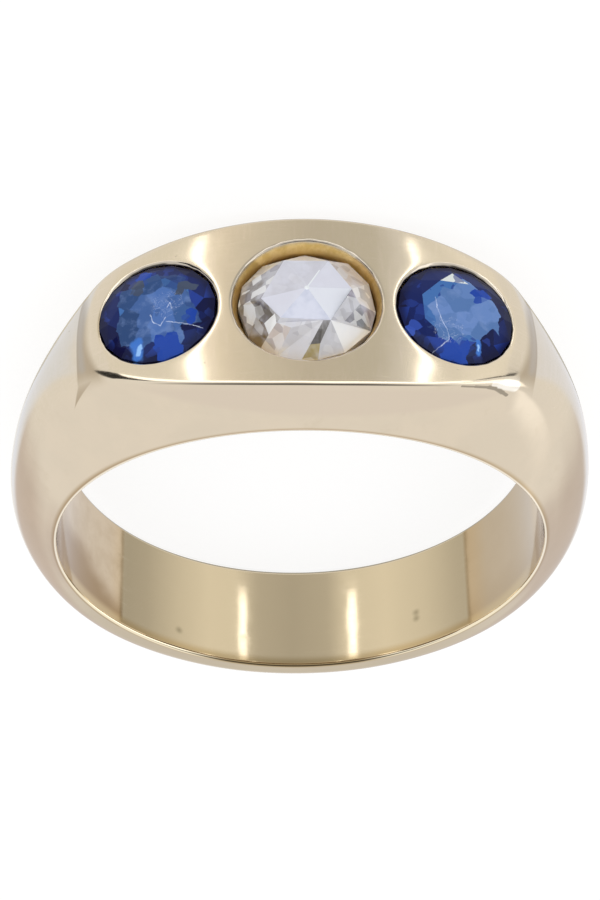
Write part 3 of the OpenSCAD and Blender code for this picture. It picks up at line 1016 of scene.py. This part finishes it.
def sapphire_crown(name, shift, inner, heart, glows, flashes, worn, strokes):
    """Deep blue sapphire: crystal-edged patches of painted light, painted glows near its rim, which is
    painted dark as shade, silk and scratches.

    The inner light has a place and a size, the heart is a pair of blues that its
    patches lie between, and the shift picks the patches. A glow is a place, a size and
    a colour, and a flash a line with its width and colour. Fine rubs lie round the
    worn place.
    """
    g = Graph(name)
    here = g.share("cut_place", "Vector")
    bent = g.jittered(here, 2.5, 3.0, 0.3)
    moved = g.vector("ADD", bent, (0, 0, shift))
    tone, through = g.share("tone", "Color"), g.share("tone", "Alpha")
    large, small = g.shards(moved, 1.25, blur=0.12), g.shards(moved, 3.2, blur=0.12)
    bright = g.mix(g.step(g.chance(large["Color"], "Red"), 0.15, 0.85), *heart)
    bright = g.mix(g.step(g.chance(small["Color"], "Red"), 0.70, 0.74, 0.0, 0.35), bright, heart[0])
    # A grey veil of painted reflection over the heart's patches.
    bright = g.mix(g.step(g.noise(moved, 1.6, 4.0, 0.6), 0.48, 0.70, 0.0, 0.4), bright, REFLECTED_VEIL)
    colour = g.mix(g.step(g.chance(small["Color"], "Green"), 0.80, 0.84, 0.0, 0.7), tone, SHARD)
    colour = g.over(colour, bright, g.spot(large["Position"], *inner), through)
    out = g.length(g.way_from((0, 0), here))
    # The rim darkened as painted shade.
    colour = g.over(colour, RIM_SHADE, g.step(out, 1.72, 2.10), 0.85)
    for place, size, glow in glows:
        colour = g.mix(g.spot(small["Position"], place, size), colour, glow)
    for begin, end, width, flash in flashes:
        colour = g.mix(g.stroke(bent, begin, end, width), colour, flash)
    fine = g.noise(moved, 3.0, 4.0, 0.6)
    rub = g.step(g.maths("ABSOLUTE", g.minus(fine, 0.5)), 0.008, 0.002)
    rub = g.times(rub, g.times(g.spot(here, worn, RUB_REACH), 0.6))
    scratch = g.strokes(g.jittered(here, 9.0, 4.0, 0.10), strokes, SCRATCH_WIDTH)
    scratch = g.times(scratch, g.step(fine, 0.35, 0.65, 0.35, 1.0))
    scratch = g.maths("MAXIMUM", scratch, rub)
    colour = g.over(colour, SCRATCH, scratch, 0.8)
    rough = g.plus(g.step(g.noise(moved, 1.5, 3.0, 0.6), 0.3, 0.7, 0.02, 0.08), g.times(scratch, 0.3))
    return g.finish({
        "Base Color": colour, "Transmission Weight": 0.1, "IOR": 1.77, "Roughness": rough,
        "Normal": g.bump(g.noise(here, 2.0, 3.0), 1.5e-6),
        "Specular IOR Level": 0.06, "Specular Tint": (0.45, 0.60, 1.0, 1),
    })


def sapphire_back():
    """The stone's back facets, which throw the blue light forward again."""
    g = Graph("sapphire_back")
    place = g.ring_place()
    clouds = g.step(g.noise(place, 1.5, 2.0), 0.35, 0.65)
    colour = g.mix(clouds, g.share("tone", "Color"), (0.03, 0.10, 0.42))
    rough = g.step(g.noise(place, 3.0), 0.3, 0.7, 0.10, 0.25)
    return g.finish({"Base Color": colour, "Metallic": 1.0, "Roughness": rough})


def add_shares(piece, shares):
    """Keeps a share for each point of the piece under its name."""
    for name, values in shares.items():
        piece.data.attributes.new(name, "FLOAT", "POINT").data.foreach_set("value", values)


def add_stone(name, x, cut, materials, back, node):
    """A cut stone at x on the head, with its facets' tones; from back on they are of the second material."""
    points, faces, tones = cut
    stone = make_piece(name, laid(on_head(x, points)), faces, smooth=False)
    stone.data.attributes.new("cut_place", "FLOAT_VECTOR", "POINT").data.foreach_set("vector", points.ravel())
    for m in materials:
        stone.data.materials.append(m)
    colour = stone.data.attributes.new("tone", "FLOAT_COLOR", "FACE")
    colour.data.foreach_set("color", np.array(tones).ravel())
    which = (np.arange(len(tones)) >= back).astype(int)
    stone.data.polygons.foreach_set("material_index", which)
    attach(stone, "root")
    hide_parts(node)


verts, faces, shares = band_mesh()
band = make_piece("gold_band", laid(verts), faces)
add_shares(band, shares)
band.data.materials.append(gold())
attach(band, "root")
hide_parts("band")

cut = rose_cut()
foil = len(cut[2]) - 1
add_stone("rose_cut_diamond", ROW_X, cut, [rose_diamond(), silver_foil()], foil, "diamond")

# The sapphires' cuts: the turn, then the tones of the crown, each facet's painted light and shade, round from
# the photograph's
# left: stars, kites, girdle facets
SAPPHIRE_CUTS = {
    "right": (8.0, (
        "navy navy navy night blue navy navy navy "
        "night navy navy night navy navy night navy "
        "night night navy navy blue night night navy "
        "night night night navy night night navy navy"
    )),
    "left": (3.0, (
        "navy navy blue night night navy glint navy "
        "navy blue night navy night navy navy navy "
        "blue night night blue night night navy navy "
        "night navy navy night night navy night night"
    )),
}
# Colours of the painted glows and flashes: royal blues, a painted grey reflection, a blue halo and blue-white
# flashes.
ROYAL, DEEP_ROYAL, REFLECTED_GREY = (0.015, 0.060, 0.38), (0.04, 0.09, 0.45), (0.06, 0.08, 0.13)
HALO, FLASH = (0.055, 0.19, 0.62), (0.32, 0.58, 1.0)
SAPPHIRE_FINISHES = {
    "right": dict(
        shift=3.0,
        inner=((0.1, -0.05), 1.35),
        heart=((0.028, 0.068, 0.19), (0.082, 0.175, 0.46)),
        glows=(
            ((-1.39, 0.56), 0.25, ROYAL), ((-0.49, 1.72), 0.45, ROYAL), ((0.60, -1.55), 0.32, ROYAL),
            ((0.67, -1.12), 0.25, REFLECTED_GREY), ((-1.02, -0.85), 0.28, REFLECTED_GREY),
        ),
        flashes=(((0.66, 1.38), (0.66, 1.80), 0.27, HALO), ((0.56, 1.56), (0.64, 1.72), 0.13, FLASH)),
        worn=(-0.45, -0.15),
        strokes=(
            ((-0.42, 0.62), (-1.70, 1.03)), ((0.17, 0.20), (0.08, 0.56), (-0.20, 0.77), (-0.38, 0.43)),
            ((-0.44, -0.01), (-0.53, -0.22), (-0.62, 0.07)),
        ),
    ),
    "left": dict(
        shift=8.0,
        inner=((-0.3, 0.05), 1.25),
        heart=((0.095, 0.195, 0.44), (0.155, 0.27, 0.58)),
        glows=(
            ((1.80, 0.95), 0.22, DEEP_ROYAL), ((0.12, 1.80), 0.50, ROYAL), ((-0.84, -0.96), 0.25, ROYAL),
        ),
        flashes=(((-0.68, 1.25), (-0.72, 1.62), 0.14, HALO), ((-0.68, 1.40), (-0.70, 1.56), 0.06, FLASH)),
        worn=(0.40, 0.85),
        strokes=(
            ((1.03, 1.95), (0.38, 1.34), (0.45, 0.91)),
            ((0.82, -0.44), (0.78, 0.00), (0.62, 0.57), (0.45, 0.91)),
        ),
    ),
}
# A sapphire's facets before those of its back: table, crown and girdle
BACK_FACETS = 1 + 32 + 16
back_blue = sapphire_back()
for side, way in (("right", 1), ("left", -1)):
    blue = sapphire_crown("blue_sapphire_" + side, **SAPPHIRE_FINISHES[side])
    cut, x = mixed_cut(*SAPPHIRE_CUTS[side]), ROW_X + way * SAPPHIRE_X
    add_stone("cut_sapphire_" + side, x, cut, [blue, back_blue], BACK_FACETS, "sapphire_" + side)


# Camera: it looks at the head from in front and above, and hangs upside down, so that
# the head stands at the top of the picture. Angles are in degrees, the distance and the
# aim in millimetres, and the sharpness is its focal length in dots of the photograph
CAMERA_RISE = 54.23
CAMERA_TURN = -3.32
CAMERA_ROLL = 3.02
CAMERA_AWAY = 111.0
AIM_RIGHT, AIM_UP = 0.02, 1.52
PICTURE_H = 900
SHARPNESS = 2881


def sight_lines():
    """The camera's place and its right, up and forward directions in the ring.

    Rise, turn and roll are counted in a frame with the head upwards and the finger
    hole running away from the camera; its axes are the ring's -X, -Z and -Y.
    """
    rise, turn, roll = math.radians(CAMERA_RISE), math.radians(CAMERA_TURN), math.radians(CAMERA_ROLL)
    forward = -np.array([math.sin(turn) * math.cos(rise), -math.cos(turn) * math.cos(rise), math.sin(rise)])
    right = np.cross(forward, [0, 0, 1])
    right /= np.linalg.norm(right)
    up = np.cross(right, forward)
    right, up = right * math.cos(roll) + up * math.sin(roll), up * math.cos(roll) - right * math.sin(roll)
    place = AIM_RIGHT * right + AIM_UP * up - CAMERA_AWAY * forward
    return [np.array([-v[0], -v[2], -v[1]]) for v in (place, right, up, forward)]


EYE, RIGHT, UP, FORWARD = sight_lines()


def add_camera():
    """The photograph's camera, laid down with the ring."""
    camera = bpy.data.cameras.new("camera")
    camera.sensor_width = 36
    camera.lens = SHARPNESS * camera.sensor_width / PICTURE_H
    camera.clip_start, camera.clip_end = 0.005, 20
    holder = bpy.data.objects.new("camera", camera)
    columns = [leaning(RIGHT), leaning(UP), -leaning(FORWARD), laid(EYE)]
    holder.matrix_world = Matrix([[c[i] for c in columns] for i in range(3)] + [[0, 0, 0, 1]])
    bpy.context.scene.collection.objects.link(holder)
    bpy.context.scene.camera = holder


add_camera()


# Stage: the gold doesn't mirror the white table that the camera sees, and mirrors the
# studio's soft boards as it would on a glass shelf

def mirrored(points, normals):
    """Direction in which the camera's line of sight leaves a polished point: r = d - 2(d.n)n."""
    d = points - EYE
    d /= np.linalg.norm(d, axis=-1, keepdims=True)
    return d - 2 * (d * normals).sum(-1, keepdims=True) * normals


def soft_board():
    """A soft board that shines by its own brightness."""
    m = bpy.data.materials.new("soft_board")
    m.use_nodes = True
    tree = m.node_tree
    tree.nodes.clear()
    out = tree.nodes.new("ShaderNodeOutputMaterial")
    shine = tree.nodes.new("ShaderNodeEmission")
    level = tree.nodes.new("ShaderNodeAttribute")
    level.attribute_name = "glow"
    tree.links.new(level.outputs["Color"], shine.inputs["Color"])
    tree.links.new(shine.outputs["Emission"], out.inputs["Surface"])
    m.cycles.emission_sampling = "NONE"
    return m


BOARD = soft_board()


def add_board(name, points, glow):
    """A board from a grid of points in the ring and a brightness at each; only mirrored rays see it."""
    rows, cols = points.shape[:2]
    board = make_piece(name, laid(points.reshape(-1, 3)), [grid_faces(rows, cols)])
    colour = board.data.attributes.new("glow", "FLOAT_COLOR", "POINT")
    rgb = np.broadcast_to(glow, (rows, cols, 3)).reshape(-1, 3)
    colour.data.foreach_set("color", np.concatenate([rgb, np.ones((len(rgb), 1))], 1).ravel())
    board.data.materials.append(BOARD)
    board.visible_camera = board.visible_diffuse = board.visible_shadow = False


def spot(u, centre, half, soft):
    """A level top of half width half round centre, with soft flanks outside it."""
    return smooth_step((half + soft - np.abs(u - centre)) / soft)


# The studio round the ring, seen only by mirrored rays: directions are counted as
# (turn, rise) in degrees, the turn from straight before the head towards the picture's
# right, and each light or dark patch has its middle, half sizes, softness and level
STUDIO_R = 400.0
STUDIO_LEVEL = 0.97
PATCHES = (
    # turn, half, soft, rise, half, soft, brightness
    (-152, 18, 11, -10, 9, 12, (0.72, 0.66, 0.64)), (152, 18, 11, -10, 9, 12, (0.71, 0.66, 0.65)),
    (-128, 20, 14, -38, 9, 12, (0.93, 1.0, 1.15)), (128, 20, 14, -38, 9, 12, (0.95, 1.0, 1.13)),
    (180, 9, 16, 7, 7, 11, (0.745, 0.73, 0.69)),
    (0, 46, 4, -11, 16, 4, 2.0),
    (-63.5, 13.5, 4, -1.5, 17, 4, 0.04),
    (132, 3, 8, 17, 1, 6, 1.25), (83, 28, 5, 15, 9, 5, 1.8), (60, 14, 4, -19, 3, 4, 0.15),
)
# A round dark patch overhead: rise, half size, softness and level
CEILING = (78.0, 22.0, 28.0, 0.15)


def patch_share(turn, rise, turn_at, turn_half, turn_soft, rise_at, rise_half, rise_soft):
    """1 on the patch and 0 past its soft flanks.

    It falls with the length of both excesses, so the corners are round, and the turn
    from the patch's middle is taken the short way round.
    """
    aside = np.abs((turn - turn_at + 180) % 360 - 180)
    out = np.hypot(
        np.maximum(aside - turn_half, 0) / turn_soft,
        np.maximum(np.abs(rise - rise_at) - rise_half, 0) / rise_soft,
    )
    return smooth_step(1 - out)


def studio():
    """A dome whose brightness is the level, drawn towards each patch's own by its soft top.

    The round patch overhead is measured by the angle between a direction and its middle.
    """
    turn, rise = np.meshgrid(np.linspace(-180, 180, 361), np.linspace(-90, 90, 181), indexing="ij")
    a, e = np.radians(turn), np.radians(rise)
    way = np.stack([-np.sin(a) * np.cos(e), -np.cos(a) * np.cos(e), np.sin(e)], axis=-1)
    level = np.full(turn.shape + (3,), STUDIO_LEVEL)
    for *place, goal in PATCHES:
        level = level + (goal - level) * patch_share(turn, rise, *place)[..., None]
    rise_at, size, soft, goal = CEILING
    top = np.array([0, -math.cos(math.radians(rise_at)), math.sin(math.radians(rise_at))])
    apart = np.degrees(np.arccos(np.clip(way @ top, -1, 1)))
    level = level + (goal - level) * smooth_step((size + soft - apart) / soft)[..., None]
    add_board("studio_dome", way * STUDIO_R, level)


# Board in front of the head: what the top face mirrors at a place (x along the head, z)
FACE_X = np.linspace(-8.3, 8.3, 333)
FACE_Z = np.linspace(-6.2, 5.9, 122)
BOARD_AWAY = 14.0
# Across the face from the picture's left to its right: place, then red, green and blue
FACE_LEVELS = (
    (-8.3, 0.96, 0.95, 0.91), (-4.8, 0.94, 0.93, 0.88), (-3.4, 0.965, 0.915, 0.83), (-1.6, 0.76, 0.74, 0.68),
    (0.0, 0.66, 0.64, 0.585), (2.4, 0.67, 0.66, 0.61), (3.4, 0.83, 0.83, 0.83), (4.6, 0.87, 0.86, 0.82),
    (6.2, 1.06, 1.05, 1.0), (8.3, 1.03, 1.02, 0.98),
)
# Bright bars with their glow: place, half width, softness and level; then where they
# end along Z and how softly
FACE_BARS = (
    (-4.20, 0.12, 0.18, 2.2), (-4.1, 0.25, 1.0, 0.16),
    (4.16, 0.10, 0.14, 2.2), (4.3, 0.2, 0.8, 0.10),
)
FACE_BAR_END, FACE_BAR_SOFT = -4.55, 0.3


def front_board():
    """Grey behind the middle, white at the sides, with two bright bars between."""
    x, z = np.meshgrid(FACE_X, FACE_Z, indexing="ij")
    a = np.arcsin(x / ARC_R)
    points = np.stack([x, ARC_CENTRE - ARC_R * np.cos(a), z], axis=-1)
    normals = np.stack([np.sin(a), -np.cos(a), 0 * a], axis=-1)
    there = points + mirrored(points, normals) * BOARD_AWAY
    where, *tints = zip(*FACE_LEVELS)
    bars = sum(power * spot(-x, place, half, soft) for place, half, soft, power in FACE_BARS)
    bars = bars * smooth_step((z - FACE_BAR_END) / FACE_BAR_SOFT)
    glow = np.stack([np.interp(-x, where, tint) + bars for tint in tints], axis=-1)
    add_board("front_board", there, glow)


# Board that the back of the finger hole mirrors, from places (turn, z) in the hole
WELL_TURN = np.radians(np.linspace(-49.2, 49.2, 329))
WELL_Z = np.linspace(-3.4, 3.4, 69)
WELL_AWAY = 25.0
# Round the back of the hole from the picture's left to its right: degrees and brightness
WELL_LEVELS = (
    (-47, 0.50), (-40, 0.56), (-30, 0.78), (-22, 0.92), (-15, 0.90), (-9, 0.60),
    (0, 0.54), (9, 0.60), (13, 0.84), (24, 0.94), (35, 0.82), (45, 0.62), (49, 0.58),
)
WELL_BARS = ((-12.8, 0.55, 0.9, 1.7), (15.2, 0.65, 0.9, 1.7))
WELL_BAR_ENDS = ((-1.25, 0.5), (2.25, 0.4))
WELL_TINT = (1, 0.965, 0.85)


def well_board():
    """What the back of the finger hole mirrors: grey in the middle, two bright bars and light grey fields."""
    b, z = np.meshgrid(WELL_TURN, WELL_Z, indexing="ij")
    points = np.stack([BORE_R * np.sin(b), BORE_R * np.cos(b), z], axis=-1)
    normals = np.stack([-np.sin(b), -np.cos(b), 0 * b], axis=-1)
    there = points + mirrored(points, normals) * WELL_AWAY
    where, level = zip(*WELL_LEVELS)
    shown = -np.degrees(b)
    level = np.interp(shown, where, level)
    bars = sum(power * spot(shown, place, half, soft) for place, half, soft, power in WELL_BARS)
    (low, low_soft), (high, high_soft) = WELL_BAR_ENDS
    bars = bars * smooth_step((z - low) / low_soft) * smooth_step((high - z) / high_soft)
    add_board("well_board", there, level[..., None] * np.array(WELL_TINT) + bars[..., None])


# The white table top: half its size in metres and its own light
TABLE_HALF = 2.0
TABLE_LIGHT = 0.82


def white_table():
    """A flat table top on the floor, nearly white by its own light, with the ring's faint shadow on it."""
    corners = TABLE_HALF * np.array([(-1, -1, 0), (1, -1, 0), (1, 1, 0), (-1, 1, 0)])
    table = make_piece("table_top", corners, [np.arange(4)[None]])
    table.data.materials.append(Graph("white_table").finish({
        "Base Color": (0.22, 0.22, 0.22, 1), "Roughness": 1.0,
        "Emission Color": (1, 1, 1, 1), "Emission Strength": TABLE_LIGHT,
    }))
    table.visible_glossy = False


def soft_light():
    """Even white light from all round, and plain colours in the picture."""
    world = bpy.data.worlds.new("studio")
    world.use_nodes = True
    world.node_tree.nodes["Background"].inputs["Color"].default_value = (1, 1, 1, 1)
    world.node_tree.nodes["Background"].inputs["Strength"].default_value = 1.0
    world.cycles.sampling_method = "NONE"
    bpy.context.scene.world = world
    bpy.context.scene.view_settings.view_transform = "Standard"


studio()
front_board()
well_board()
white_table()
soft_light()
